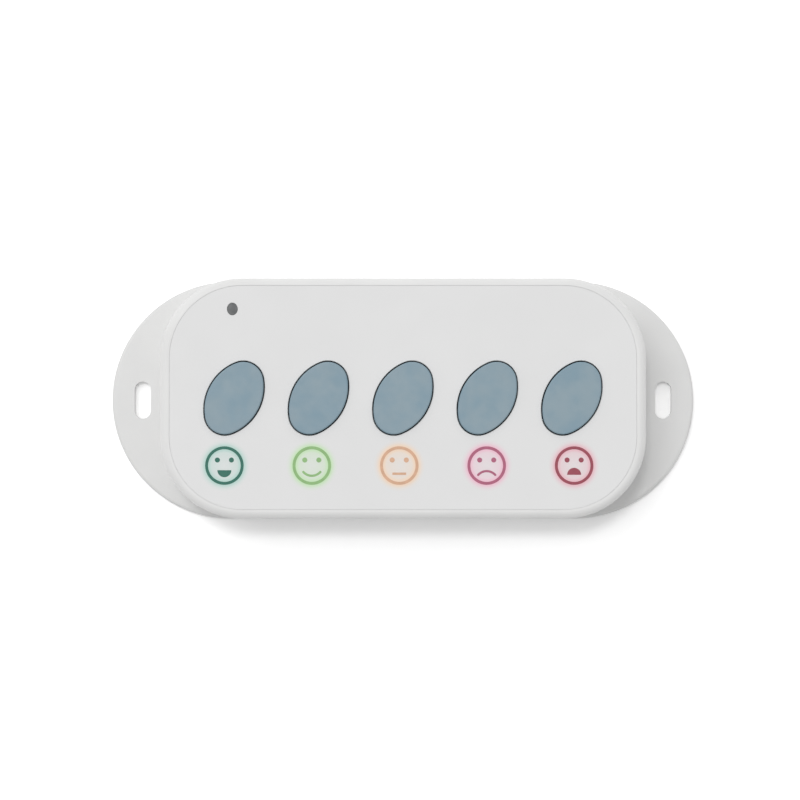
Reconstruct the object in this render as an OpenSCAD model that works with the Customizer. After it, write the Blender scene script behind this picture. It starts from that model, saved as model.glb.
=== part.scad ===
// Customer feedback terminal: five tilted oval push buttons in a slim housing with two mounting ears.
// The front face looks up along +Z, the row of buttons runs along +X,
// and +Y points to the long edge with the status light.
// The origin is the centre of the rear face, which rests on a counter or against a wall.

/* [Base plate] */
// Length over both mounting ears
base_l = 160.6; // [156:0.2:180]
// How far the base plate shows beyond the front cover's long edges
base_rim = 0.25; // [0:0.05:0.4]
// Thickness of the base plate and its ears
base_t = 2.8; // [2.4:0.1:4]
// Rounding of the front edge of the ears
ear_edge_r = 0.8; // [0.3:0.1:1.4]
// Height of the rib that locates the front cover on the base plate
lip_h = 2.6; // [1.5:0.1:4]
// Thickness of that locating rib
lip_t = 1.4; // [1:0.1:2]
// Play between the locating rib and the cover's walls
lip_play = 0.15; // [0.05:0.05:0.3]

/* [Mounting slots] */
// Distance of a slot's centre from the end of its ear
slot_inset = 8.4; // [7:0.1:9]
// Width of a slot, for a 4 mm wall screw
slot_w = 4.5; // [3.5:0.1:5.5]
// Length of a slot from end to end
slot_l = 10.2; // [7:0.1:14]

/* [Housing] */
// Length of the front cover
cover_l = 131.5; // [130.5:0.5:134]
// Width of the front cover
body_w = 65; // [64.5:0.1:65.5]
// Radius of the cover's corners
cover_corner = 22.1; // [18:0.1:23]
// Thickness of the cover's side walls
wall = 2.2; // [1.8:0.1:2.6]
// Thickness of the cover's front face
face_t = 2.4; // [2:0.1:3]
// Rounding of the cover's front edge
front_edge_r = 1.9; // [1:0.1:2.2]
// Depth of the hollow between the front face and the circuit board
front_room = 6.4; // [6.2:0.1:8]

/* [Front label] */
// Bare rim of the cover at each end of the label
label_end_border = 2.65; // [2.4:0.05:4]
// Bare rim of the cover along the label's long edges
label_side_border = 2.25; // [2.2:0.05:4]
// Height of the label above the centre line
label_y = 0.2; // [-0.2:0.1:0.3]
// Thickness of the label
label_t = 0.35; // [0.2:0.05:0.4]
// Depth of the pocket that the label lies in
label_pocket = 0.4; // [0.4:0.05:0.8]
// Gap between the label and the edge of its pocket
label_gap = 0.05; // [0.05:0.05:0.3]
// How far the label stays back from the edge of each button hole
label_setback = 0.1; // [0:0.05:0.4]

/* [Buttons] */
// Distance between neighbouring buttons
button_pitch = 22.8; // [22.4:0.01:23.2]
// Height of the row of buttons above the centre line
button_y = 0; // [-0.3:0.1:0.3]
// Lean of each oval from upright, clockwise
button_lean = 29.3; // [20:0.1:40]
// Length of the button cap
cap_l = 20.9; // [20:0.1:21.5]
// Width of the button cap
cap_w = 14.3; // [13.6:0.1:14.6]
// Radius of the narrow ends of the cap's four-arc outline
cap_end_r = 5.35; // [5:0.05:5.8]
// Gap all round between the cap and its hole
cap_gap = 0.35; // [0.15:0.05:0.4]
// How far the cap stands proud of the cover
cap_proud = 0.8; // [0.5:0.1:1.5]
// Rounding of the cap's upper edge
cap_edge_r = 0.35; // [0.1:0.05:0.6]
// Thickness of the cap's face
cap_face_t = 1.4; // [1:0.1:1.8]
// Thickness of the cap's skirt
cap_wall = 1.2; // [0.8:0.1:1.4]
// Width of the flange that stops the cap from coming out
flange_w = 1.1; // [0.8:0.1:1.3]
// Thickness of that flange
flange_t = 1; // [0.8:0.1:1.4]
// Play between the flange and the collar above it
flange_play = 0.15; // [0.1:0.05:0.3]
// Depth of the guide collar behind the front face
collar_h = 1.8; // [1:0.1:2]
// Thickness of the guide collar
collar_t = 1.2; // [0.8:0.1:1.3]
// Travel of a button
press_travel = 0.5; // [0.25:0.05:0.5]
// Radius of the post inside the cap that presses the switch
cap_post_r = 2; // [1.6:0.1:2.4]
// Thickness of the ribs that stiffen the cap
cap_rib_t = 0.8; // [0.6:0.1:1.2]
// Depth of those ribs
cap_rib_h = 1.4; // [0.8:0.1:2]

/* [Switches] */
// Side of the square switch body
switch_w = 6; // [5.6:0.1:6.4]
// Height of the switch body with its metal frame
switch_h = 3.5; // [3.3:0.1:3.6]
// Height of the switch from the board to the tip of its stem
switch_full_h = 5; // [4.8:0.1:5.2]
// Radius of the stem
stem_r = 1.75; // [1.4:0.05:2]
// Radius of the switch body's bore
switch_bore_r = 2.5; // [2.4:0.05:2.6]
// Thickness of the switch body's floor
switch_floor = 0.9; // [0.7:0.1:1]
// Height of the snap dome when it is flattened
dome_flat_h = 0.3; // [0.25:0.05:0.4]
// Sheet thickness of the snap dome
dome_t = 0.1; // [0.06:0.02:0.14]
// Sheet thickness of the metal frame
frame_t = 0.3; // [0.2:0.05:0.4]
// Sheet thickness of the switch terminals
terminal_t = 0.2; // [0.15:0.05:0.3]
// Width of a switch terminal
terminal_w = 0.7; // [0.5:0.1:0.9]
// Play of the stem and the dome in the switch
stem_play = 0.1; // [0.05:0.05:0.15]

/* [Status light] */
// Distance of the light from the cover's left end
light_inset_x = 19.65; // [19:0.05:21]
// Distance of the light from the cover's upper edge
light_inset_y = 8.4; // [8.2:0.1:10]
// Height of the light's upright oval window
light_l = 3.25; // [3.1:0.05:3.6]
// Width of the light's oval window
light_w = 2.75; // [2.6:0.05:3]
// Radius of the window's narrow ends
light_end_r = 1.2; // [1.1:0.05:1.25]
// Radius of the light pipe behind the window
pipe_r = 1.5; // [1:0.1:1.8]
// Radius of the light pipe's flange
pipe_flange_r = 2.6; // [2.2:0.1:2.8]
// Thickness of that flange
pipe_flange_t = 0.8; // [0.6:0.1:1.2]
// Height of the light's package on the board
led_h = 1.9; // [1.4:0.1:2.4]
// Air between that package and the light pipe
pipe_air = 0.2; // [0.1:0.05:0.5]

/* [Circuit board] */
// Thickness of the board
board_t = 1.6; // [1.2:0.1:2]
// Gap between the board and the cover's walls
board_gap = 3.8; // [3:0.1:4.4]
// Radius of the posts that the board is fixed to
post_r = 2.8; // [2.4:0.1:3]
// Radius of the board screws' shanks
board_screw_r = 1; // [0.8:0.05:1.1]
// Depth that the board screws' holes reach from the rear of the board
board_screw_l = 6; // [4:0.5:7]
// Room between the tip of a board screw and the end of its hole
board_tip_room = 0.5; // [0.3:0.1:1]
// Radius of the board screws' heads
board_head_r = 2; // [1.6:0.1:2.2]
// Height of the board screws' heads
board_head_h = 1.4; // [1:0.1:1.6]

/* [Case screws] */
// Distance of the case screws from the cover's ends
screw_inset_x = 13.5; // [13.2:0.1:14]
// Distance of the case screws and the posts from the cover's long edges
screw_inset_y = 11.5; // [11:0.1:12]
// Radius of the screws' shanks
screw_r = 1.2; // [1:0.05:1.3]
// Radius of the screws' heads
screw_head_r = 2.4; // [2:0.1:2.6]
// Height of the screws' heads
screw_head_h = 1.4; // [1:0.1:1.6]
// How far the heads stay below the rear face
screw_head_room = 0.2; // [0.1:0.1:0.4]
// Depth of the pilot holes in the bosses
pilot_h = 14; // [10:1:18]
// Room between the tip of a screw and the end of its pilot hole
screw_tip_room = 1; // [0.5:0.1:2]
// Radius of the bosses that take the screws
boss_r = 3.2; // [2.8:0.1:3.4]
// Play around a shank in its pilot hole
screw_play = 0.05; // [0.03:0.01:0.1]
// Play around a screw in the piece that it clamps
clearance_play = 0.25; // [0.15:0.05:0.4]

/* [Batteries] */
// Diameter of a cell
cell_d = 10.5; // [10:0.1:10.5]
// Length of a cell with its contact nub
cell_l = 44.5; // [43.5:0.1:45]
// Room between the cells and the base plate
cell_room = 0.5; // [0.4:0.1:2]
// Distance between the axes of the two cells
cell_pitch = 12; // [11.8:0.1:12.6]
// Play around a cell in its bay
cell_play = 0.25; // [0.15:0.05:0.3]
// Room for the contact spring at the flat end of a cell
spring_l = 4; // [3:0.1:5]
// Wall thickness of the battery holder
holder_wall = 1.3; // [1:0.1:1.6]
// Floor thickness of the battery holder
holder_floor = 1.4; // [1.2:0.1:2]
// Sheet thickness of the contact plates
contact_t = 0.4; // [0.3:0.05:0.5]

/* [Radio, sounder and chips] */
// Length and width of the radio module
radio_w = 16; // [14:0.5:17]
// Thickness of the module's own board
radio_board_t = 0.8; // [0.6:0.1:1]
// Height of the shielding can
shield_h = 2.2; // [1.6:0.1:3]
// Sheet thickness of the shielding can
shield_t = 0.3; // [0.2:0.05:0.4]
// Radius of the can's corners
shield_corner = 1; // [0.6:0.1:1.5]
// Margin of the module's board around the can
shield_margin = 1.2; // [0.8:0.1:2]
// Distance of the module from the board's lower edge
radio_margin = 12.5; // [11:0.5:14]
// Gap between the module and the antenna
antenna_gap = 1.2; // [0.8:0.1:1.6]
// Length of the antenna's straight leg
antenna_lead = 2; // [1.5:0.1:2.5]
// Mean radius of the spring antenna
antenna_r = 2.4; // [2:0.1:2.8]
// Wire radius of the spring antenna
antenna_wire_r = 0.4; // [0.3:0.05:0.5]
// Distance from turn to turn of the spring antenna
antenna_step = 2.2; // [1.6:0.1:2.6]
// Number of turns of the spring antenna
antenna_turns = 8; // [4:1:9]
// Radius of the sounder
sounder_r = 6; // [5:0.1:6.5]
// Height of the sounder
sounder_h = 5.4; // [4:0.1:7]
// Distance of the sounder from the board's upper edge
sounder_margin = 16.5; // [15:0.5:18]
// Distance of the large chips from the board's long edges
chip_margin = 9; // [8:0.5:10]
// Side of the square controller
controller_w = 7; // [5:0.5:8]
// Height of the controller
controller_h = 1; // [0.8:0.1:1.4]
// Length of the memory
memory_l = 6; // [5:0.5:7]
// Width of the memory
memory_w = 5; // [4:0.5:6]
// Height of the memory
memory_h = 1.5; // [1:0.1:2]
// Number of small parts in each row
small_count = 4; // [2:1:5]
// Distance from one small part to the next
small_step = 2.6; // [2.2:0.1:3]
// Length of a small part
small_l = 1.6; // [1.2:0.1:2]
// Width of a small part
small_w = 0.9; // [0.6:0.1:1.2]
// Height of a small part
small_h = 0.8; // [0.5:0.1:1]

/* [Hidden] */
$fn = 64;
// How far a cut runs past the face it opens, and how far two joined blocks sink into each other
past = 0.5;
sink = 0.2;
// Where two arcs of a rounded block meet, the end one stays this far inside, so that they never cross
arc_step = 0.01;
// The five buttons, counted from the left
buttons = [1, 2, 3, 4, 5];
middle_button = 3;

// Levels, from the rear face forwards
cell_z = base_t + cell_room + cell_d / 2;
board_z = cell_z + cell_d / 2 + cell_play + holder_floor;
board_top_z = board_z + board_t;
face_in_z = board_top_z + front_room;
body_h = face_in_z + face_t;
cap_top_z = body_h + cap_proud;
cap_under_z = cap_top_z - cap_face_t;
flange_top_z = face_in_z - collar_h - flange_play;
flange_z = flange_top_z - flange_t;
stem_tip_z = board_top_z + switch_full_h;
frame_top_z = board_top_z + switch_h;
dome_z = board_top_z + switch_floor;
dome_h = press_travel + dome_flat_h;

// Outlines of the base plate and of the inside of the front cover
base_w = body_w + 2 * base_rim;
cavity_l = cover_l - 2 * wall;
cavity_w = body_w - 2 * wall;
cavity_corner = cover_corner - wall;
corner_x = cover_l / 2 - cover_corner;
corner_y = body_w / 2 - cover_corner;

// The case screws and the posts stand in one line. The posts stand midway between two buttons.
screw_x = cover_l / 2 - screw_inset_x;
screw_y = body_w / 2 - screw_inset_y;
post_x = 1.5 * button_pitch;
head_depth = screw_head_h + screw_head_room;

// Battery holder
bay_r = cell_d / 2 + cell_play;
bay_l = cell_l + spring_l + contact_t * 2;
holder_l = bay_l + 2 * holder_wall;
holder_w = cell_pitch + 2 * bay_r + 2 * holder_wall;
// The mouth of a bay is a little narrower than the cell, so that the cell snaps in
bay_mouth = 0.92 * cell_d;

// Rear of the board: the radio and its antenna lie between the holder and the board's right end,
// the sounder and the controller between the holder and its left end
board_l = cavity_l - 2 * board_gap;
board_w = cavity_w - 2 * board_gap;
end_bay_x = (board_l + holder_l) / 4;
antenna_w = 2 * (antenna_r + antenna_wire_r);
radio_x = end_bay_x - (antenna_w + antenna_gap) / 2;
antenna_x = radio_x + radio_w / 2 + antenna_gap + antenna_w / 2;
radio_y = radio_w / 2 + radio_margin - board_w / 2;
sounder_y = board_w / 2 - sounder_r - sounder_margin;

function button_x(n) = (n - middle_button) * button_pitch;
// Radius of the long arcs of an oval that meet its end arcs smoothly
function long_arc(a, b, r) = ((a - r) * (a - r) + b * b - r * r) / (2 * (b - r));
// Where the long and the end arcs meet, along the oval's length
function arc_joint(a, b, r) = a - r + r * (a - r) / (long_arc(a, b, r) - r);

// ---------- Shapes that repeat ----------

// Flat oval of four arcs, half length a, half width b, end radius r
module oval(a, b, r) {
    big = long_arc(a, b, r);
    intersection() {
        translate([0, b - big])
            circle(r = big);
        translate([0, big - b])
            circle(r = big);
        square([2 * arc_joint(a, b, r), 2 * b], center = true);
    }
    for (side = [-1, 1])
        translate([side * (a - r), 0])
            circle(r = r);
}

// Half of the section through a block: its upper outer edge is rounded
module edge_section(reach, h, edge_r) {
    square([reach, h - edge_r]);
    square([reach - edge_r, h]);
    translate([reach - edge_r, h - edge_r])
        circle(r = edge_r);
}

// Oval block of four arcs with a rounded upper edge. Its long arcs end at the lines
// from their own centres through those of the end arcs.
module oval_block(a, b, r, h, edge_r) {
    big = long_arc(a, b, r);
    line_y = b + past;
    line_x = (a - r) * (1 + line_y / (big - b));
    intersection() {
        translate([0, b - big, 0])
            rotate_extrude()
                edge_section(big, h, edge_r);
        translate([0, big - b, 0])
            rotate_extrude()
                edge_section(big, h, edge_r);
        translate([0, 0, -past])
            linear_extrude(h + 2 * past)
                polygon([[a - r, 0], [line_x, line_y], [-line_x, line_y],
                         [r - a, 0], [-line_x, -line_y], [line_x, -line_y]]);
    }
    for (side = [-1, 1])
        translate([side * (a - r), 0, 0])
            rotate_extrude()
                edge_section(r - arc_step, h, edge_r);
}

// Flat rectangle with rounded corners
module rounded_rect(l, w, corner) {
    square([l - 2 * corner, w], center = true);
    square([l, w - 2 * corner], center = true);
    for (x = [-1, 1], y = [-1, 1])
        translate([x * (l / 2 - corner), y * (w / 2 - corner)])
            circle(r = corner);
}

// Block with rounded corners and a rounded upper edge
module soft_block(l, w, corner, h, edge_r) {
    for (x = [-1, 1], y = [-1, 1])
        translate([x * (l / 2 - corner), y * (w / 2 - corner), 0])
            rotate_extrude()
                edge_section(corner, h, edge_r);
    for (turn = [0, 180])
        rotate(turn) {
            translate([corner - l / 2, 0, 0])
                rotate([90, 0, 90])
                    linear_extrude(l - 2 * corner)
                        edge_section(w / 2, h, edge_r);
            translate([0, w / 2 - corner, 0])
                rotate([90, 0, 0])
                    linear_extrude(w - 2 * corner)
                        edge_section(l / 2, h, edge_r);
        }
}

// Plate with fully round ends and a rounded upper edge
module stadium_block(l, w, h, edge_r) {
    for (side = [-1, 1])
        translate([side * (l - w) / 2, 0, 0])
            rotate_extrude()
                edge_section(w / 2, h, edge_r);
    for (turn = [0, 180])
        rotate(turn)
            translate([(w - l) / 2, 0, 0])
                rotate([90, 0, 90])
                    linear_extrude(l - w)
                        edge_section(w / 2, h, edge_r);
}

// Cross-head screw with its head below z = 0 and its shank pointing up
module pan_screw(head_r, head_h, shank_r, shank_l) {
    recess_w = 0.22 * head_r;
    recess_h = 0.45 * head_h;
    difference() {
        rotate_extrude()
            union() {
                translate([0, -head_h])
                    square([head_r - head_h / 2, head_h]);
                translate([0, -head_h / 2])
                    square([head_r, head_h / 2]);
                translate([head_r - head_h / 2, -head_h / 2])
                    circle(r = head_h / 2);
                square([shank_r, shank_l - shank_r]);
                translate([0, shank_l - shank_r])
                    polygon([[0, 0], [shank_r, 0], [shank_r / 3, shank_r], [0, shank_r]]);
            }
        for (turn = [0, 90])
            rotate(turn)
                translate([0, 0, -head_h])
                    cube([1.2 * head_r, recess_w, 2 * recess_h], center = true);
    }
}

// Round wire along a list of points, closed at both ends
module wire(path, r, sides = 6) {
    count = len(path);
    function ahead(i) = path[min(i + 1, count - 1)] - path[max(i - 1, 0)];
    function across(i) = let (v = cross(ahead(i), [0.31, 0.17, 0.93])) v / norm(v);
    function beside(i) = let (v = cross(ahead(i), across(i))) v / norm(v);
    rings = [for (i = [0:count - 1], k = [0:sides - 1])
        path[i] + r * (cos(360 * k / sides) * across(i) + sin(360 * k / sides) * beside(i))];
    walls = [for (i = [0:count - 2], k = [0:sides - 1])
        let (a = i * sides + k, b = i * sides + (k + 1) % sides)
            each [[a, b, b + sides], [a, b + sides, a + sides]]];
    first = [for (k = [1:sides - 2]) [0, k + 1, k]];
    end = (count - 1) * sides;
    last = [for (k = [1:sides - 2]) [end, end + k, end + k + 1]];
    polyhedron(points = rings, faces = concat(walls, first, last));
}

// ---------- Places ----------

module at_button(n) {
    translate([button_x(n), button_y, 0])
        children();
}

// Turns an oval's length from +X to the lean of the buttons
module leaning() {
    rotate(90 - button_lean)
        children();
}

module at_light() {
    translate([light_inset_x - cover_l / 2, body_w / 2 - light_inset_y, 0])
        children();
}

module at_case_screws() {
    for (x = [-1, 1], y = [-1, 1])
        translate([x * screw_x, y * screw_y, 0])
            children();
}

module at_posts() {
    for (x = [-1, 1], y = [-1, 1])
        translate([x * post_x, y * screw_y, 0])
            children();
}

// The two cells lie side by side and head to tail
module at_cells() {
    for (side = [-1, 1])
        rotate(side > 0 ? 0 : 180)
            translate([0, cell_pitch / 2, cell_z])
                children();
}

module cap_outline(grow) {
    leaning()
        oval(cap_l / 2 + grow, cap_w / 2 + grow, cap_end_r + grow);
}

module light_outline(grow) {
    rotate(90)
        oval(light_l / 2 + grow, light_w / 2 + grow, light_end_r + grow);
}

// ---------- Housing ----------

// Base plate with its ears, slots, locating rib, screw holes and the ribs that hold the cells in
module rear_cover() {
    color("whitesmoke")
        difference() {
            union() {
                stadium_block(base_l, base_w, base_t, ear_edge_r);
                locating_lip();
                cell_ribs();
            }
            mounting_slots();
            case_screw_holes();
        }
}

module locating_lip() {
    translate([0, 0, base_t - sink])
        linear_extrude(lip_h + sink)
            difference() {
                rounded_rect(cavity_l - 2 * lip_play, cavity_w - 2 * lip_play, cavity_corner - lip_play);
                rounded_rect(cavity_l - 2 * (lip_play + lip_t), cavity_w - 2 * (lip_play + lip_t),
                             cavity_corner - lip_play - lip_t);
            }
}

// Two cross ribs with hollows that follow the cells
module cell_ribs() {
    rib_t = 1.4;
    rib_gap = 0.3;
    for (side = [-1, 1])
        difference() {
            translate([side * cell_l / 4 - rib_t / 2, -cell_pitch / 2 - cell_d / 4, base_t - sink])
                cube([rib_t, cell_pitch + cell_d / 2, cell_d / 4 + sink]);
            at_cells()
                rotate([0, 90, 0])
                    cylinder(r = cell_d / 2 + rib_gap, h = cell_l, center = true);
        }
}

module mounting_slots() {
    for (side = [-1, 1])
        translate([side * (base_l / 2 - slot_inset), 0, -past])
            linear_extrude(base_t + 2 * past)
                union() {
                    square([slot_w, slot_l - slot_w], center = true);
                    for (end = [-1, 1])
                        translate([0, end * (slot_l - slot_w) / 2])
                            circle(r = slot_w / 2);
                }
}

module case_screw_holes() {
    at_case_screws() {
        translate([0, 0, -past])
            cylinder(r = screw_r + clearance_play, h = base_t + 2 * past);
        translate([0, 0, -past])
            cylinder(r = screw_head_r + clearance_play, h = head_depth + past);
    }
}

// Deep shell with the button collars, the screw bosses and the posts for the board
module front_cover() {
    color("white")
        difference() {
            union() {
                cover_shell();
                for (n = buttons)
                    at_button(n)
                        translate([0, 0, face_in_z - collar_h])
                            linear_extrude(collar_h + sink)
                                cap_outline(cap_gap + collar_t);
                at_case_screws()
                    translate([0, 0, base_t])
                        cylinder(r = boss_r, h = face_in_z - base_t + sink);
                boss_webs();
                at_posts()
                    translate([0, 0, board_top_z])
                        cylinder(r = post_r, h = front_room + sink);
            }
            for (n = buttons)
                at_button(n)
                    translate([0, 0, face_in_z - collar_h - past])
                        linear_extrude(collar_h + face_t + 2 * past)
                            cap_outline(cap_gap);
            at_light()
                translate([0, 0, face_in_z - past])
                    linear_extrude(face_t + 2 * past)
                        light_outline(label_setback / 2);
            at_case_screws()
                translate([0, 0, base_t - past])
                    cylinder(r = screw_r + screw_play, h = pilot_h + past);
            at_posts()
                translate([0, 0, board_top_z - past])
                    cylinder(r = board_screw_r + screw_play, h = board_screw_l - board_t + past);
        }
}

module cover_shell() {
    difference() {
        translate([0, 0, base_t])
            soft_block(cover_l, body_w, cover_corner, body_h - base_t, front_edge_r);
        translate([0, 0, base_t - past])
            linear_extrude(face_in_z - base_t + past)
                rounded_rect(cavity_l, cavity_w, cavity_corner);
        translate([0, 0, body_h - label_pocket])
            linear_extrude(label_pocket + past)
                label_outline(label_gap);
    }
}

// Webs that tie the screw bosses to the corners, clear of the locating rib
module boss_webs() {
    web_t = 1.2;
    lip_room = 0.5;
    web_z = base_t + lip_h + lip_room;
    dx = screw_x - corner_x;
    dy = screw_y - corner_y;
    for (x = [0, 1], y = [0, 1])
        mirror([x, 0, 0])
            mirror([0, y, 0])
                translate([screw_x, screw_y, web_z])
                    rotate(atan2(dy, dx))
                        translate([screw_r + past, -web_t / 2, 0])
                            cube([cavity_corner - norm([dx, dy]) - screw_r - past + sink, web_t,
                                  face_in_z - web_z + sink]);
}

module label_outline(grow) {
    translate([0, label_y])
        rounded_rect(cover_l - 2 * (label_end_border - grow), body_w - 2 * (label_side_border - grow),
                     cover_corner - (label_end_border + label_side_border) / 2 + grow);
}

// Thin face plate that carries the printing
module front_label() {
    color("ghostwhite")
        translate([0, 0, body_h - label_pocket])
            linear_extrude(label_t)
                difference() {
                    label_outline(0);
                    for (n = buttons)
                        at_button(n)
                            cap_outline(cap_gap + label_setback);
                    at_light()
                        light_outline(label_setback);
                }
}

// Clear rod that carries the light from the board to its window
module light_pipe() {
    pipe_z = board_top_z + led_h + pipe_air;
    color("dimgray")
        at_light() {
            translate([0, 0, face_in_z - sink])
                linear_extrude(body_h - label_pocket + label_t - face_in_z + sink)
                    light_outline(0);
            translate([0, 0, face_in_z - pipe_flange_t])
                cylinder(r = pipe_flange_r, h = pipe_flange_t);
            translate([0, 0, pipe_z])
                cylinder(r = pipe_r, h = face_in_z - pipe_z - pipe_flange_t + sink);
        }
}

module case_screws() {
    color("silver")
        at_case_screws()
            translate([0, 0, head_depth])
                pan_screw(screw_head_r, screw_head_h, screw_r,
                          base_t - head_depth + pilot_h - screw_tip_room);
}

// ---------- Buttons ----------

// Hollow oval cap with a retaining flange, a post over the switch and two stiffening ribs
module button_cap(n) {
    a = cap_l / 2;
    b = cap_w / 2;
    color("lightslategray")
        at_button(n) {
            leaning() {
                difference() {
                    union() {
                        translate([0, 0, flange_z])
                            oval_block(a, b, cap_end_r, cap_top_z - flange_z, cap_edge_r);
                        translate([0, 0, flange_z])
                            linear_extrude(flange_t)
                                oval(a + flange_w, b + flange_w, cap_end_r + flange_w);
                    }
                    translate([0, 0, flange_z - past])
                        linear_extrude(cap_under_z - flange_z + past)
                            oval(a - cap_wall, b - cap_wall, cap_end_r - cap_wall);
                }
                translate([0, 0, cap_under_z - cap_rib_h]) {
                    translate([cap_wall / 2 - a, -cap_rib_t / 2, 0])
                        cube([2 * a - cap_wall, cap_rib_t, cap_rib_h + sink]);
                    translate([-cap_rib_t / 2, cap_wall / 2 - b, 0])
                        cube([cap_rib_t, 2 * b - cap_wall, cap_rib_h + sink]);
                }
            }
            translate([0, 0, stem_tip_z])
                cylinder(r = cap_post_r, h = cap_under_z - stem_tip_z + sink);
        }
}

// Stem of one switch: a foot that the dome holds up, and a rod through the metal frame
module switch_stem(n) {
    foot_z = dome_z + dome_h;
    foot_top_z = frame_top_z - frame_t - stem_play;
    color("dimgray")
        at_button(n)
            rotate_extrude()
                union() {
                    translate([0, foot_z])
                        square([switch_bore_r - stem_play, foot_top_z - foot_z]);
                    translate([0, foot_z])
                        square([stem_r, stem_tip_z - foot_z]);
                }
}

// Springy metal dome that gives the click
module switch_dome(n) {
    rim_r = switch_bore_r - stem_play;
    edge_w = 4 * dome_t;
    crown_r = 0.35 * switch_bore_r;
    color("goldenrod")
        at_button(n)
            translate([0, 0, dome_z])
                rotate_extrude()
                    polygon([[rim_r, 0], [rim_r, dome_t], [crown_r, dome_h], [0, dome_h],
                             [0, dome_h - dome_t], [crown_r - dome_t, dome_h - dome_t], [rim_r - edge_w, 0]]);
}

module switch_housings() {
    color("darkslategray")
        for (n = buttons)
            at_button(n)
                difference() {
                    translate([-switch_w / 2, -switch_w / 2, board_top_z])
                        cube([switch_w, switch_w, switch_h - frame_t]);
                    translate([0, 0, dome_z])
                        cylinder(r = switch_bore_r, h = switch_h);
                }
}

// Metal top of each switch, with a tab folded down on two sides
module switch_frames() {
    tab_h = 1.6;
    tab_l = 3;
    color("silver")
        for (n = buttons)
            at_button(n)
                difference() {
                    union() {
                        translate([-switch_w / 2, -switch_w / 2 - frame_t, frame_top_z - frame_t])
                            cube([switch_w, switch_w + 2 * frame_t, frame_t]);
                        for (side = [0, 1])
                            mirror([0, side, 0])
                                translate([-tab_l / 2, switch_w / 2, frame_top_z - tab_h])
                                    cube([tab_l, frame_t, tab_h]);
                    }
                    translate([0, 0, frame_top_z - 2 * frame_t])
                        cylinder(r = stem_r + stem_play, h = 3 * frame_t);
                }
}

// Four bent legs on each switch, soldered flat to the board
module switch_terminals() {
    leg_z = 0.8;
    leg_out = 0.7;
    foot_l = 1;
    leg_y = 0.36 * switch_w;
    color("silver")
        for (n = buttons)
            at_button(n)
                for (x = [0, 1], y = [-1, 1])
                    mirror([x, 0, 0])
                        translate([switch_w / 2, y * leg_y + terminal_w / 2, board_top_z])
                            rotate([90, 0, 0])
                                linear_extrude(terminal_w)
                                    union() {
                                        translate([0, leg_z])
                                            square([leg_out, terminal_t]);
                                        translate([leg_out - terminal_t, 0])
                                            square([terminal_t, leg_z + terminal_t]);
                                        translate([leg_out - terminal_t, 0])
                                            square([foot_l, terminal_t]);
                                    }
}

// ---------- Electronics ----------

// Board cut round the screw bosses, with holes for its own screws
module circuit_board() {
    boss_room = 0.6;
    color("seagreen")
        translate([0, 0, board_z])
            linear_extrude(board_t)
                difference() {
                    rounded_rect(board_l, board_w, cavity_corner - board_gap);
                    at_case_screws()
                        circle(r = boss_r + boss_room);
                    at_posts()
                        circle(r = board_screw_r + clearance_play);
                }
}

module board_screws() {
    color("silver")
        at_posts()
            translate([0, 0, board_z])
                pan_screw(board_head_r, board_head_h, board_screw_r, board_screw_l - board_tip_room);
}

// Surface light: a square package with a round window that faces the light pipe
module status_led() {
    package_l = 3.2;
    package_w = 2.8;
    window_r = 1.1;
    window_h = 0.5;
    color("white")
        at_light()
            translate([0, 0, board_top_z]) {
                translate([-package_l / 2, -package_w / 2, 0])
                    cube([package_l, package_w, led_h - window_h]);
                cylinder(r = window_r, h = led_h);
            }
}

// Controller, memory and two rows of small parts on the rear of the board
module board_chips() {
    color("dimgray") {
        chip(-end_bay_x, chip_margin + controller_w / 2 - board_w / 2,
             controller_w, controller_w, controller_h);
        chip(end_bay_x, board_w / 2 - chip_margin - memory_w / 2, memory_l, memory_w, memory_h);
        for (i = [0:small_count - 1])
            chip(small_step * (i - (small_count - 1) / 2) - end_bay_x, sounder_y - sounder_r - small_step,
                 small_l, small_w, small_h);
        for (i = [0:small_count - 1])
            chip(end_bay_x + small_step * (i - (small_count - 1) / 2), radio_y + radio_w / 2 + small_step,
                 small_w, small_l, small_h);
    }
}

module chip(x, y, l, w, h) {
    translate([x - l / 2, y - w / 2, board_z - h])
        cube([l, w, h]);
}

module radio_module() {
    color("darkgreen")
        translate([radio_x, radio_y, board_z - radio_board_t / 2])
            cube([radio_w, radio_w, radio_board_t], center = true);
}

// Open can of thin sheet over the radio
module radio_shield() {
    can_w = radio_w - 2 * shield_margin;
    color("silver")
        translate([radio_x, radio_y, board_z - radio_board_t - shield_h])
            difference() {
                linear_extrude(shield_h)
                    rounded_rect(can_w, can_w, shield_corner);
                translate([0, 0, shield_t])
                    linear_extrude(shield_h)
                        rounded_rect(can_w - 2 * shield_t, can_w - 2 * shield_t, shield_corner - shield_t);
            }
}

// Coiled wire that stands on one leg beside the radio and winds along Y
module antenna() {
    per_turn = 10;
    solder_h = 0.05;
    axis_z = board_z - antenna_lead - antenna_r;
    coil = [for (i = [0:per_turn * antenna_turns])
        let (turn = 360 * i / per_turn)
            [antenna_x + antenna_r * cos(turn), radio_y + antenna_step * i / per_turn,
             axis_z - antenna_r * sin(turn)]];
    color("goldenrod")
        wire(concat([[antenna_x + antenna_r, radio_y, board_z - solder_h]], coil), antenna_wire_r);
}

// Round sounder with its sound hole facing the rear
module sounder() {
    hole_r = sounder_r / 6;
    hole_h = sounder_h / 5;
    lip = sounder_r / 15;
    color("black")
        translate([-end_bay_x, sounder_y, board_z - sounder_h])
            rotate_extrude()
                union() {
                    translate([hole_r, 0])
                        square([sounder_r - lip - hole_r, sounder_h]);
                    translate([hole_r, lip])
                        square([sounder_r - hole_r, sounder_h - lip]);
                    translate([0, hole_h])
                        square([sounder_r - lip, sounder_h - hole_h]);
                }
}

// ---------- Power ----------

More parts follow.
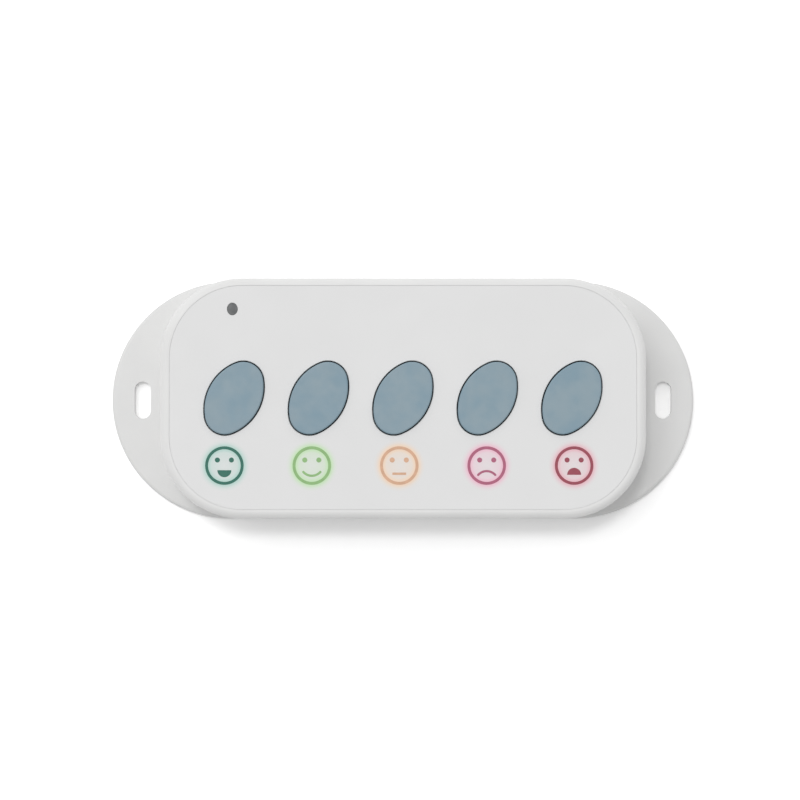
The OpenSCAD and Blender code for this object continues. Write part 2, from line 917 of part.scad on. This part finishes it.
// Moulded tray with two open bays, hung from the rear of the board
module battery_holder() {
    rim_z = cell_z - cell_d / 6;
    color("dimgray")
        difference() {
            translate([-holder_l / 2, -holder_w / 2, rim_z])
                cube([holder_l, holder_w, board_z - rim_z]);
            at_cells() {
                rotate([0, 90, 0])
                    cylinder(r = bay_r, h = bay_l, center = true);
                translate([-bay_l / 2, -bay_mouth / 2, -cell_d])
                    cube([bay_l, bay_mouth, cell_d]);
            }
        }
}

// Nickel plates at both ends of each bay
module battery_contacts() {
    plate_w = 0.7 * cell_d;
    color("silver")
        at_cells()
            for (end = [-1, 1])
                translate([end * (bay_l - contact_t) / 2, 0, 0])
                    cube([contact_t, plate_w, plate_w], center = true);
}

// Coil springs at the flat ends of the cells
module battery_springs() {
    spring_wire_r = 0.3;
    spring_r = 0.28 * cell_d;
    spring_turns = 3;
    per_turn = 12;
    touch = 0.05;
    start_x = contact_t - bay_l / 2 + spring_wire_r + touch;
    reach = spring_l - 2 * (spring_wire_r + touch);
    coil = [for (i = [0:per_turn * spring_turns])
        let (share = i / (per_turn * spring_turns), turn = 360 * i / per_turn)
            [start_x + reach * share, spring_r * cos(turn), spring_r * sin(turn)]];
    color("silver")
        at_cells()
            wire(coil, spring_wire_r);
}

// One round cell with a rounded can and its nub
module cell() {
    nub_r = 1.9;
    nub_h = 1.2;
    can_edge = 0.6;
    can_l = cell_l - nub_h;
    rotate_extrude()
        union() {
            translate([0, can_edge])
                square([cell_d / 2, can_l - 2 * can_edge]);
            square([cell_d / 2 - can_edge, can_l]);
            for (h = [can_edge, can_l - can_edge])
                translate([cell_d / 2 - can_edge, h])
                    circle(r = can_edge);
            square([nub_r, cell_l]);
        }
}

module battery(turn) {
    rotate(turn)
        translate([contact_t + spring_l - bay_l / 2, cell_pitch / 2, cell_z])
            rotate([0, 90, 0])
                cell();
}

module battery_1() {
    color("orange")
        battery(0);
}

module battery_2() {
    color("orange")
        battery(180);
}

rear_cover();
front_cover();
front_label();
light_pipe();
case_screws();
circuit_board();
board_screws();
switch_housings();
switch_frames();
switch_terminals();
status_led();
board_chips();
radio_module();
radio_shield();
antenna();
sounder();
battery_holder();
battery_contacts();
battery_springs();
battery_1();
battery_2();
button_cap(1);  // button_cap_1
button_cap(2);  // button_cap_2
button_cap(3);  // button_cap_3
button_cap(4);  // button_cap_4
button_cap(5);  // button_cap_5
switch_stem(1);  // switch_stem_1
switch_stem(2);  // switch_stem_2
switch_stem(3);  // switch_stem_3
switch_stem(4);  // switch_stem_4
switch_stem(5);  // switch_stem_5
switch_dome(1);  // switch_dome_1
switch_dome(2);  // switch_dome_2
switch_dome(3);  // switch_dome_3
switch_dome(4);  // switch_dome_4
switch_dome(5);  // switch_dome_5
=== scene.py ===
"""Dresses the customer feedback terminal: finishes, printed rating icons, snap domes, floor, light and camera.

Lengths are in metres, in the frame of the construction: the front faces +Z and the buttons run along +X.
"""

import math

import bmesh
import bpy
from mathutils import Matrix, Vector


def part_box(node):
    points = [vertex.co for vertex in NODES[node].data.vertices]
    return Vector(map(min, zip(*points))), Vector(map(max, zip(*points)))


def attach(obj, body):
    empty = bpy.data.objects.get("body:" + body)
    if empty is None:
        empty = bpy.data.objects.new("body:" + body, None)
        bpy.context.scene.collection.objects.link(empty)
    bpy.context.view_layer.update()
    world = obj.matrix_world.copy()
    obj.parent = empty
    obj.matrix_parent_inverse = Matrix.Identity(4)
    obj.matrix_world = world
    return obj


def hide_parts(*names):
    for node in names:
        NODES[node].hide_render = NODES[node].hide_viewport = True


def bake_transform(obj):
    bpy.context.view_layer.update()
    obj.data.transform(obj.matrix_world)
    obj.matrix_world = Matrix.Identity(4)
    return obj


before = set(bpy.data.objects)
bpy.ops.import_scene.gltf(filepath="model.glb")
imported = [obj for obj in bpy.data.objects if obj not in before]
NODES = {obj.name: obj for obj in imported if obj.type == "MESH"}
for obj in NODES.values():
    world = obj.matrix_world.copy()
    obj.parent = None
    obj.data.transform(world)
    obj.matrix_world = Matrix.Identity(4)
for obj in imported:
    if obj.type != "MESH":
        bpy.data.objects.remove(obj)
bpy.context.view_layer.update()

MM = 0.001
BUTTONS = range(1, 6)
MIDDLE_BUTTON = 3


def srgb(r, g, b):
    """A colour picked as 8-bit sRGB, as the linear colour that a shader takes."""

    def linear(c):
        c /= 255
        return c / 12.92 if c <= 0.04045 else ((c + 0.055) / 1.055) ** 2.4

    return (linear(r), linear(g), linear(b), 1.0)


def shade(colour, factor):
    return tuple(min(1.0, c * factor) for c in colour[:3]) + (1.0,)


# ---------- Sizes ----------

# Rating icons: a row of rings on the label, measured from the middle of its face
ICON_PITCH = 23.6 * MM
ICON_MIDDLE_X = -1.0 * MM
ICON_Y = -18.2 * MM
RING_R = 4.8 * MM
RING_STROKE = 0.8 * MM
# Eyes and mouths, measured from the middle of their ring
EYE_X = 1.9 * MM
EYE_Y = 1.5 * MM
EYE_R = 0.68 * MM
OPEN_MOUTH_R = 1.89 * MM
LAUGH_Y = -1.25 * MM
CRY_Y = -2.5 * MM
LINE_STROKE = 0.62 * MM
BEND_R = 3.1 * MM
BEND_END = 42
SMILE_Y = 0.35 * MM
FROWN_Y = -4.6 * MM
BAR_HALF_L = 1.85 * MM
BAR_HALF_T = 0.32 * MM
BAR_Y = -2.2 * MM
# Thickness of the ink, and the air that keeps it off the film
INK_T = 0.02 * MM
INK_AIR = 0.003 * MM
# Straight steps in a ring, an eye, an open mouth, a bent line and its round end
RING_STEPS = 96
EYE_STEPS = 40
MOUTH_STEPS = 48
BEND_STEPS = 40
TIP_STEPS = 12

DOME_T = 0.1 * MM
DOME_RINGS = 10
DOME_SIDES = 48

# ---------- Colours ----------

LABEL_WHITE = (0.78, 0.78, 0.78, 1.0)
COVER_WHITE = (0.78, 0.78, 0.775, 1.0)
# The rear cover is the same white plastic as the front cover; its colour is set a little darker as painted
# shade on the ears.
SHADED_BASE_WHITE = (0.745, 0.745, 0.74, 1.0)
BUTTON_BLUE = srgb(124, 150, 164)
BUTTON_GREY = srgb(137, 157, 167)
WINDOW_GREY = srgb(78, 81, 82)
FLOOR_WHITE = (0.95, 0.95, 0.95, 1.0)

ICON_COLOURS = {
    1: srgb(31, 102, 86),
    2: srgb(142, 184, 122),
    3: srgb(215, 171, 141),
    4: srgb(172, 93, 120),
    5: srgb(150, 66, 81),
}

# The soft tint that the print leaves round its lines: its colour, and its strength by the distance from
# the middle of an icon
TINTS = {
    1: (0.48, 0.69, 0.63, 1.0),
    2: (0.58, 0.80, 0.50, 1.0),
    3: (0.90, 0.69, 0.52, 1.0),
    4: (0.88, 0.54, 0.65, 1.0),
    5: (0.83, 0.50, 0.56, 1.0),
}
TINT_STRENGTH = (
    (0.0 * MM, 0.15),
    (2.4 * MM, 0.35),
    (3.5 * MM, 0.45),
    (4.1 * MM, 0.9),
    (5.4 * MM, 0.9),
    (5.7 * MM, 0.62),
    (6.0 * MM, 0.36),
    (6.4 * MM, 0.15),
    (7.0 * MM, 0.0),
)
TINT_REACH = TINT_STRENGTH[-1][0]

# ---------- Finishes ----------

# Sockets of a Mix node that mixes colours, which share their names with those of its other kinds
MIX_SHARE, MIX_FROM, MIX_TO, MIX_RESULT = 0, 6, 7, 2

# Scale of a pattern that is stretched along Y, as a brush or a die leaves it
BRUSHED = (1.0, 0.08, 1.0)


class Finish:
    """A material on one Principled shader, built up from named procedural layers."""

    def __init__(self, name, roughness, metallic=0.0, specular=0.5, ior=1.46):
        self.material = bpy.data.materials.new(name)
        self.material.use_nodes = True
        self.tree = self.material.node_tree
        self.shader = self.tree.nodes["Principled BSDF"]
        self.shader.inputs["Roughness"].default_value = roughness
        self.shader.inputs["Metallic"].default_value = metallic
        self.shader.inputs["Specular IOR Level"].default_value = specular
        self.shader.inputs["IOR"].default_value = ior
        self.place = self.node("ShaderNodeTexCoord").outputs["Object"]
        self.bump_normal = None

    def node(self, kind, **settings):
        made = self.tree.nodes.new(kind)
        for key, value in settings.items():
            setattr(made, key, value)
        return made

    def link(self, out, into):
        self.tree.links.new(out, into)

    def stretched(self, scale):
        mapping = self.node("ShaderNodeMapping")
        mapping.inputs["Scale"].default_value = scale
        self.link(self.place, mapping.inputs["Vector"])
        return mapping.outputs["Vector"]

    def noise(self, grain, detail=2.0, roughness=0.5, stretch=None):
        """Smooth noise whose grains are about this many metres across."""
        made = self.node("ShaderNodeTexNoise")
        made.inputs["Scale"].default_value = 1.0 / grain
        made.inputs["Detail"].default_value = detail
        made.inputs["Roughness"].default_value = roughness
        self.link(self.stretched(stretch) if stretch else self.place, made.inputs["Vector"])
        return made.outputs["Fac"]

    def ramp(self, value, stops, colours):
        made = self.node("ShaderNodeValToRGB")
        made.color_ramp.interpolation = "EASE"
        for stop, colour, element in zip(stops, colours, made.color_ramp.elements):
            element.position = stop
            element.color = colour
        self.link(value, made.inputs["Fac"])
        return made.outputs["Color"]

    def spread(self, value, low, high, start=0.3, end=0.7):
        made = self.node("ShaderNodeMapRange")
        for key, number in (("From Min", start), ("From Max", end), ("To Min", low), ("To Max", high)):
            made.inputs[key].default_value = number
        self.link(value, made.inputs["Value"])
        return made.outputs["Result"]

    def colour(self, base, grain, change, detail=2.0):
        """Base colour that drifts a little lighter and darker over grains of this size."""
        drift = (shade(base, 1 - change), shade(base, 1 + change))
        tones = self.ramp(self.noise(grain, detail), stops=(0.35, 0.65), colours=drift)
        self.link(tones, self.shader.inputs["Base Color"])
        return tones

    def tint(self, tones, centre, colour):
        """Lets a colour in round a point of the face, as strongly as TINT_STRENGTH says."""
        apart = self.node("ShaderNodeVectorMath", operation="DISTANCE")
        apart.inputs[1].default_value = centre
        self.link(self.place, apart.inputs[0])
        share = self.node("ShaderNodeValToRGB")
        stops = share.color_ramp.elements
        while len(stops) < len(TINT_STRENGTH):
            stops.new(0.5)
        for stop, (distance, strength) in zip(stops, TINT_STRENGTH):
            stop.position = distance / TINT_REACH
            stop.color = (strength, strength, strength, 1.0)
        reach = self.spread(apart.outputs["Value"], low=0, high=1, start=0, end=TINT_REACH)
        self.link(reach, share.inputs["Fac"])
        mix = self.node("ShaderNodeMix", data_type="RGBA")
        self.link(share.outputs["Color"], mix.inputs[MIX_SHARE])
        self.link(tones, mix.inputs[MIX_FROM])
        mix.inputs[MIX_TO].default_value = colour
        return mix.outputs[MIX_RESULT]

    def gloss(self, grain, low, high, stretch=None):
        """Roughness that drifts between two values over grains of this size."""
        drift = self.spread(self.noise(grain, detail=3.0, stretch=stretch), low, high)
        self.link(drift, self.shader.inputs["Roughness"])

    def bump(self, height, depth, strength=1.0):
        """Adds a height pattern to the surface, this many metres deep."""
        made = self.node("ShaderNodeBump")
        made.inputs["Distance"].default_value = depth
        made.inputs["Strength"].default_value = strength
        self.link(height, made.inputs["Height"])
        if self.bump_normal is not None:
            self.link(self.bump_normal, made.inputs["Normal"])
        self.bump_normal = made.outputs["Normal"]
        self.link(self.bump_normal, self.shader.inputs["Normal"])


def moulded_plastic(name, base, roughness, texture, depth, change=0.012):
    """Spark-eroded moulding: an even fine grain, with faint drifts of tone and gloss."""
    finish = Finish(name, roughness)
    finish.colour(base, grain=18 * MM, change=change)
    finish.gloss(grain=6 * MM, low=roughness - 0.05, high=roughness + 0.05)
    finish.bump(finish.noise(texture, detail=2.0, roughness=0.6), depth)
    finish.bump(finish.noise(14 * MM, detail=1.0), depth=0.03 * MM, strength=0.6)
    return finish.material


def icon_centre(n):
    """Centre of a rating icon on the face of the label."""
    x = ICON_MIDDLE_X + (n - MIDDLE_BUTTON) * ICON_PITCH
    return Vector((x, ICON_Y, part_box("front_label")[1].z))


def face_film():
    """Printed film: flatter than the moulding, with a very fine even tooth and the icons' soft tint."""
    finish = Finish("label_film", roughness=0.5)
    tones = finish.colour(LABEL_WHITE, grain=30 * MM, change=0.006)
    for n in BUTTONS:
        tones = finish.tint(tones, icon_centre(n), TINTS[n])
    finish.link(tones, finish.shader.inputs["Base Color"])
    finish.gloss(grain=9 * MM, low=0.46, high=0.54)
    finish.bump(finish.noise(0.16 * MM, detail=1.0, roughness=0.7), depth=0.0035 * MM)
    return finish.material


def button_satin():
    """Blue-grey satin caps with the soft cloudy mottling of a through-coloured moulding."""
    finish = Finish("button_satin", roughness=0.42)
    clouds = finish.noise(7.5 * MM, detail=2.5, roughness=0.55)
    tones = finish.ramp(clouds, stops=(0.3, 0.7), colours=(BUTTON_BLUE, BUTTON_GREY))
    finish.link(tones, finish.shader.inputs["Base Color"])
    finish.gloss(grain=2.5 * MM, low=0.38, high=0.48)
    finish.bump(finish.noise(0.22 * MM, detail=2.0, roughness=0.6), depth=0.005 * MM)
    return finish.material


def ink(name, base):
    """Screen-printed ink: even colour with the faint density drift of a print."""
    finish = Finish(name, roughness=0.48)
    finish.colour(base, grain=1.6 * MM, change=0.05, detail=3.0)
    finish.gloss(grain=0.8 * MM, low=0.42, high=0.55)
    finish.bump(finish.noise(0.12 * MM, detail=1.0), depth=0.003 * MM)
    return finish.material


def smoked_window():
    """Smoke-grey plastic of the status light, glossier than what surrounds it."""
    finish = Finish("smoked_window", roughness=0.22, ior=1.5)
    finish.colour(WINDOW_GREY, grain=1.2 * MM, change=0.08)
    finish.gloss(grain=1.5 * MM, low=0.18, high=0.28)
    return finish.material


def plated_metal(name, base, roughness):
    """Plated or drawn metal: fine scratches along one direction and a drift of gloss."""
    finish = Finish(name, roughness, metallic=1.0)
    finish.colour(base, grain=2.5 * MM, change=0.06)
    finish.gloss(grain=0.4 * MM, low=roughness - 0.08, high=roughness + 0.1, stretch=BRUSHED)
    finish.bump(finish.noise(0.25 * MM, detail=2.0, stretch=BRUSHED), depth=0.004 * MM)
    return finish.material


def solder_mask(name, base):
    """Green lacquer over the weave of the board's glass cloth."""
    finish = Finish(name, roughness=0.3)
    finish.colour(base, grain=5 * MM, change=0.12)
    finish.gloss(grain=3 * MM, low=0.24, high=0.36)
    weave = finish.node("ShaderNodeTexWave")
    weave.inputs["Scale"].default_value = 1 / (0.9 * MM)
    weave.inputs["Distortion"].default_value = 0.6
    finish.link(finish.place, weave.inputs["Vector"])
    finish.bump(weave.outputs["Fac"], depth=0.006 * MM, strength=0.5)
    return finish.material


COVER = moulded_plastic("cover_plastic", COVER_WHITE, roughness=0.45, texture=0.28 * MM, depth=0.006 * MM)
# Rear cover plastic, whose darker white is painted shade on the ears.
BASE = moulded_plastic("base_plastic_painted_shade", SHADED_BASE_WHITE, roughness=0.48, texture=0.3 * MM, depth=0.007 * MM)
BLACK = moulded_plastic(
    "black_plastic", srgb(44, 45, 46), roughness=0.5, texture=0.2 * MM, depth=0.006 * MM, change=0.1
)
WHITE_PART = moulded_plastic(
    "light_package", srgb(236, 236, 228), roughness=0.35, texture=0.2 * MM, depth=0.003 * MM
)
SLEEVE = plated_metal("battery_sleeve", srgb(150, 152, 156), roughness=0.35)
STEEL = plated_metal("screw_steel", srgb(190, 190, 188), roughness=0.3)
TINNED = plated_metal("tinned_sheet", srgb(205, 205, 200), roughness=0.28)
BRONZE = plated_metal("spring_bronze", srgb(206, 170, 112), roughness=0.3)
MASK = solder_mask("solder_mask", srgb(28, 92, 58))

NODE_FINISH = {
    "rear_cover": BASE,
    "front_cover": COVER,
    "front_label": face_film(),
    "light_pipe": smoked_window(),
    "case_screws": STEEL,
    "board_screws": STEEL,
    "circuit_board": MASK,
    "radio_module": MASK,
    "switch_housings": BLACK,
    "switch_frames": TINNED,
    "switch_terminals": TINNED,
    "status_led": WHITE_PART,
    "board_chips": BLACK,
    "radio_shield": TINNED,
    "antenna": BRONZE,
    "sounder": BLACK,
    "battery_holder": BLACK,
    "battery_contacts": TINNED,
    "battery_springs": TINNED,
    "battery_1": SLEEVE,
    "battery_2": SLEEVE,
}
BUTTON = button_satin()
for n in BUTTONS:
    NODE_FINISH[f"button_cap_{n}"] = BUTTON
    NODE_FINISH[f"switch_stem_{n}"] = BLACK

for name, material in NODE_FINISH.items():
    for slot in NODES[name].material_slots:
        slot.material = material

# ---------- Printed rating icons ----------


def circle_points(x, y, r, start=0.0, end=360.0, steps=RING_STEPS):
    """Points on an arc, from start to end in degrees."""
    turns = [math.radians(start + (end - start) * i / steps) for i in range(steps + 1)]
    return [(x + r * math.cos(turn), y + r * math.sin(turn)) for turn in turns]


class Print:
    """A thin printed layer made of filled outlines and stroked arcs."""

    def __init__(self, z):
        self.mesh = bmesh.new()
        self.low = z + INK_AIR
        self.high = z + INK_AIR + INK_T

    def level(self, points, z):
        return [self.mesh.verts.new((x, y, z)) for x, y in points]

    def fill(self, points):
        """A filled outline, counter-clockwise, without its first point repeated."""
        low, high = self.level(points, self.low), self.level(points, self.high)
        self.mesh.faces.new(high)
        self.mesh.faces.new(list(reversed(low)))
        for i in range(len(points)):
            j = (i + 1) % len(points)
            self.mesh.faces.new((low[i], low[j], high[j], high[i]))

    def ring(self, x, y, r, width):
        """A full stroked circle."""
        outer = circle_points(x, y, r + width / 2)[:-1]
        inner = circle_points(x, y, r - width / 2)[:-1]
        rows = [
            self.level(outer, self.low),
            self.level(outer, self.high),
            self.level(inner, self.high),
            self.level(inner, self.low),
        ]
        for i in range(len(outer)):
            j = (i + 1) % len(outer)
            for a, b in zip(rows, rows[1:] + rows[:1]):
                self.mesh.faces.new((a[i], a[j], b[j], b[i]))

    def stroke(self, x, y, r, start, end, width):
        """A stroked arc with round ends."""
        half = width / 2
        first, last = circle_points(x, y, r, start, end, steps=1)
        outline = circle_points(x, y, r + half, start, end, BEND_STEPS)
        outline += circle_points(*last, half, end, end + 180, TIP_STEPS)[1:]
        outline += circle_points(x, y, r - half, end, start, BEND_STEPS)[1:]
        outline += circle_points(*first, half, start + 180, start + 360, TIP_STEPS)[1:-1]
        self.fill(outline)

    def piece(self, name, material):
        """Ends the layer as a piece of the case."""
        bmesh.ops.recalc_face_normals(self.mesh, faces=self.mesh.faces)
        made = new_piece(name, self.mesh, material)
        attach(made, "case")


def new_piece(name, mesh, material):
    """Turns a finished bmesh into an object of the scene."""
    data = bpy.data.meshes.new(name)
    mesh.to_mesh(data)
    mesh.free()
    data.materials.append(material)
    made = bpy.data.objects.new(name, data)
    bpy.context.scene.collection.objects.link(made)
    return made


def mouth(layer, n, x, y):
    """The five mouths, from delighted to upset: laugh, smile, straight line, frown and cry."""
    if n == 1:
        layer.fill(circle_points(x, y + LAUGH_Y, OPEN_MOUTH_R, 180, 360, MOUTH_STEPS))
    elif n == 2:
        layer.stroke(x, y + SMILE_Y, BEND_R, 180 + BEND_END, 360 - BEND_END, LINE_STROKE)
    elif n == 3:
        left, right = x - BAR_HALF_L, x + BAR_HALF_L
        low, high = y + BAR_Y - BAR_HALF_T, y + BAR_Y + BAR_HALF_T
        layer.fill([(left, low), (right, low), (right, high), (left, high)])
    elif n == 4:
        layer.stroke(x, y + FROWN_Y, BEND_R, BEND_END, 180 - BEND_END, LINE_STROKE)
    else:
        layer.fill(circle_points(x, y + CRY_Y, OPEN_MOUTH_R, 0, 180, MOUTH_STEPS))


for n in BUTTONS:
    x, y, label_top = icon_centre(n)
    layer = Print(label_top)
    layer.ring(x, y, RING_R, RING_STROKE)
    for side in (-1, 1):
        layer.fill(circle_points(x + side * EYE_X, y + EYE_Y, EYE_R, steps=EYE_STEPS)[:-1])
    mouth(layer, n, x, y)
    layer.piece(f"rating_icon_{n}", ink(f"ink_{n}", ICON_COLOURS[n]))

# ---------- Snap domes ----------


def snap_dome(n):
    """Domed sheet in place of the plain one."""
    low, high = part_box(f"switch_dome_{n}")
    middle = (low + high) / 2
    rim_r, height = (high.x - low.x) / 2, high.z - low.z
    mesh = bmesh.new()

    def level(r, z):
        """A closed row of points round the dome's middle."""
        return [
            mesh.verts.new((
                middle.x + r * math.cos(math.tau * k / DOME_SIDES),
                middle.y + r * math.sin(math.tau * k / DOME_SIDES),
                low.z + z,
            ))
            for k in range(DOME_SIDES)
        ]

    turns = [math.pi / 2 * i / DOME_RINGS for i in range(DOME_RINGS)]
    profile = [(rim_r * math.cos(turn), DOME_T + (height - DOME_T) * math.sin(turn)) for turn in turns]
    outer = [level(r, z) for r, z in profile]
    inner = [level(r - DOME_T * r / rim_r, z - DOME_T) for r, z in reversed(profile)]
    crown = mesh.verts.new((middle.x, middle.y, high.z))
    under = mesh.verts.new((middle.x, middle.y, high.z - DOME_T))
    for k in range(DOME_SIDES):
        j = (k + 1) % DOME_SIDES
        for a, b in [*zip(outer, outer[1:]), *zip(inner, inner[1:]), (inner[-1], outer[0])]:
            mesh.faces.new((a[k], a[j], b[j], b[k]))
        mesh.faces.new((outer[-1][k], outer[-1][j], crown))
        mesh.faces.new((inner[0][j], inner[0][k], under))
    bmesh.ops.recalc_face_normals(mesh, faces=mesh.faces)
    dome = new_piece(f"snap_dome_{n}", mesh, BRONZE)
    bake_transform(dome)
    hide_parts(f"switch_dome_{n}")


for n in BUTTONS:
    snap_dome(n)

# ---------- Floor, light and camera ----------

FLOOR_SIZE = 6.0
# Just under the rear face, so that the two don't share a plane
FLOOR_Z = -0.02 * MM
FLOOR_GRAIN = 0.025
# How much lighter than its own colour the floor is seen, so that it reads as white
FLOOR_GAIN = 1.36

# The part of full white that the surroundings give a face that lies flat, and where they are lighter
SKY_SHARE = 0.63
SKY_LEAN = (-0.12, 0.5, 0)
# Lamps: where they stand, how broad they are in degrees and their part of full white
LAMPS = {
    "key": ((-0.09, 0.20, 1), 8, 0.15),
    "side": ((-0.38, 0.27, 1), 26, 0.14),
}

CAMERA_LENS = 163.4
CAMERA_SENSOR = 36
CAMERA_AT = (-0.8 * MM, -21.7 * MM, 1006 * MM)
CAMERA_TARGET = (-0.8 * MM, -0.5 * MM, 25.9 * MM)


def seen(tree):
    """1 where a ray shows the surface to the eye: from the camera, in a reflection or through glass."""
    path = tree.nodes.new("ShaderNodeLightPath")
    share = path.outputs["Is Camera Ray"]
    for kind in ("Is Glossy Ray", "Is Transmission Ray"):
        larger = tree.nodes.new("ShaderNodeMath")
        larger.operation = "MAXIMUM"
        tree.links.new(share, larger.inputs[0])
        tree.links.new(path.outputs[kind], larger.inputs[1])
        share = larger.outputs[0]
    return share


def floor_material():
    """Matt white paper, whose colour is lighter by FLOOR_GAIN where it is seen."""
    material = bpy.data.materials.new("white_sweep")
    material.use_nodes = True
    tree = material.node_tree
    tree.nodes.clear()
    grain = tree.nodes.new("ShaderNodeTexNoise")
    grain.inputs["Scale"].default_value = 1 / FLOOR_GRAIN
    tones = tree.nodes.new("ShaderNodeValToRGB")
    tones.color_ramp.elements[0].color = shade(FLOOR_WHITE, 0.995)
    tones.color_ramp.elements[1].color = FLOOR_WHITE
    gain = tree.nodes.new("ShaderNodeMath")
    gain.operation = "MULTIPLY_ADD"
    gain.inputs[1].default_value = FLOOR_GAIN - 1
    gain.inputs[2].default_value = 1
    lighter = tree.nodes.new("ShaderNodeVectorMath")
    lighter.operation = "SCALE"
    paper = tree.nodes.new("ShaderNodeBsdfDiffuse")
    out = tree.nodes.new("ShaderNodeOutputMaterial")
    link = tree.links.new
    link(grain.outputs["Fac"], tones.inputs["Fac"])
    link(seen(tree), gain.inputs[0])
    link(tones.outputs["Color"], lighter.inputs[0])
    link(gain.outputs[0], lighter.inputs["Scale"])
    link(lighter.outputs[0], paper.inputs["Color"])
    link(paper.outputs[0], out.inputs["Surface"])
    return material


def lay_floor():
    data = bpy.data.meshes.new("floor")
    half = FLOOR_SIZE / 2
    corners = [(-half, -half), (half, -half), (half, half), (-half, half)]
    data.from_pydata([(x, y, FLOOR_Z) for x, y in corners], [], [(0, 1, 2, 3)])
    data.materials.append(floor_material())
    floor = bpy.data.objects.new("floor", data)
    bpy.context.scene.collection.objects.link(floor)


def sky(share, lean):
    """White surroundings: soft light from all sides, and plain white where a ray that is seen ends in them."""
    world = bpy.data.worlds.new("studio")
    bpy.context.scene.world = world
    world.use_nodes = True
    tree = world.node_tree
    tree.nodes.clear()
    place = tree.nodes.new("ShaderNodeTexCoord")
    along = tree.nodes.new("ShaderNodeVectorMath")
    along.operation = "DOT_PRODUCT"
    along.inputs[1].default_value = lean
    strength = tree.nodes.new("ShaderNodeMath")
    strength.operation = "MULTIPLY_ADD"
    strength.inputs[1].default_value = share
    strength.inputs[2].default_value = share
    light = tree.nodes.new("ShaderNodeBackground")
    white = tree.nodes.new("ShaderNodeBackground")
    for background in (light, white):
        background.inputs["Color"].default_value = (1, 1, 1, 1)
    mix = tree.nodes.new("ShaderNodeMixShader")
    out = tree.nodes.new("ShaderNodeOutputWorld")
    link = tree.links.new
    link(place.outputs["Generated"], along.inputs[0])
    link(along.outputs["Value"], strength.inputs[0])
    link(strength.outputs[0], light.inputs["Strength"])
    link(seen(tree), mix.inputs[0])
    link(light.outputs[0], mix.inputs[1])
    link(white.outputs[0], mix.inputs[2])
    link(mix.outputs[0], out.inputs["Surface"])


def distant_lamp(name, towards, spread, share):
    """Broad distant lamp. share is the part of full white that it gives a face that lies flat."""
    towards = Vector(towards).normalized()
    data = bpy.data.lights.new(name, "SUN")
    data.angle = math.radians(spread)
    data.energy = share * math.pi / towards.z
    lamp = bpy.data.objects.new(name, data)
    lamp.rotation_euler = towards.to_track_quat("Z", "Y").to_euler()
    bpy.context.scene.collection.objects.link(lamp)


def camera():
    """Above the front and a little towards the lower edge, as the photograph was taken."""
    data = bpy.data.cameras.new("camera")
    data.sensor_width = CAMERA_SENSOR
    data.lens = CAMERA_LENS
    eye = bpy.data.objects.new("camera", data)
    eye.location = CAMERA_AT
    eye.rotation_euler = (Vector(CAMERA_TARGET) - eye.location).to_track_quat("-Z", "Y").to_euler()
    bpy.context.scene.collection.objects.link(eye)
    bpy.context.scene.camera = eye


lay_floor()
sky(SKY_SHARE, SKY_LEAN)
for name, (towards, spread, share) in LAMPS.items():
    distant_lamp(name, towards, spread, share)
camera()

bpy.context.scene.view_settings.view_transform = "Standard"
